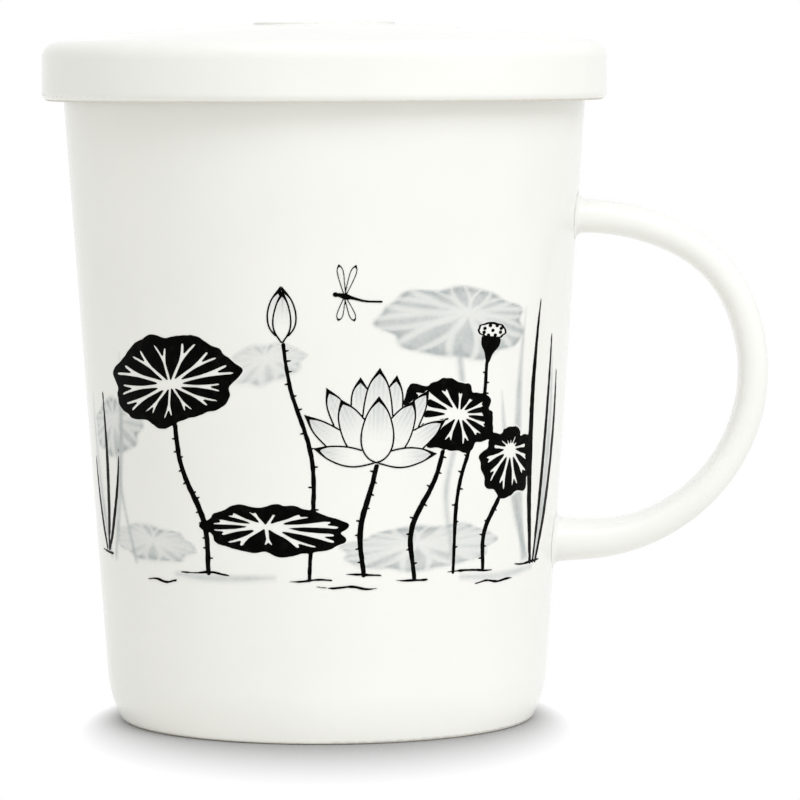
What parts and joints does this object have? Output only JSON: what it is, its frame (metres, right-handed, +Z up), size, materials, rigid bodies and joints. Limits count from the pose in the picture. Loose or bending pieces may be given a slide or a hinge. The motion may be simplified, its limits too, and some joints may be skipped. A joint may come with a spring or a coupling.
{
  "type": "lidded tea mug with infuser",
  "caption": "Tapered porcelain tea mug with a round ear handle, a deep perforated infuser basket hanging from its rim and a domed lift-off cap lid over both; free-standing.",
  "frame": {"origin": "centre of the mug's foot, on the surface it stands on", "axes": "+Z up along the axis of the mug, +X towards the handle"},
  "size_m": [0.1175, 0.0914, 0.1128],
  "materials": {
    "porcelain": "gloss",
    "ink_black": "gloss",
    "ink_wash": "gloss"
  },
  "bodies": {
    "mug": {"mug_body": "porcelain", "handle": "porcelain"},
    "infuser": {"infuser": "porcelain"},
    "lid": {"lid": "porcelain"}
  },
  "joints": [
    {"name": "infuser_lift", "type": "slide", "parent": "mug", "child": "infuser", "axis": [0, 0, 1], "range_m": [0, 0.08]},
    {"name": "lid_lift", "type": "slide", "parent": "infuser", "child": "lid", "axis": [0, 0, 1], "range_m": [0, 0.03]}
  ]
}
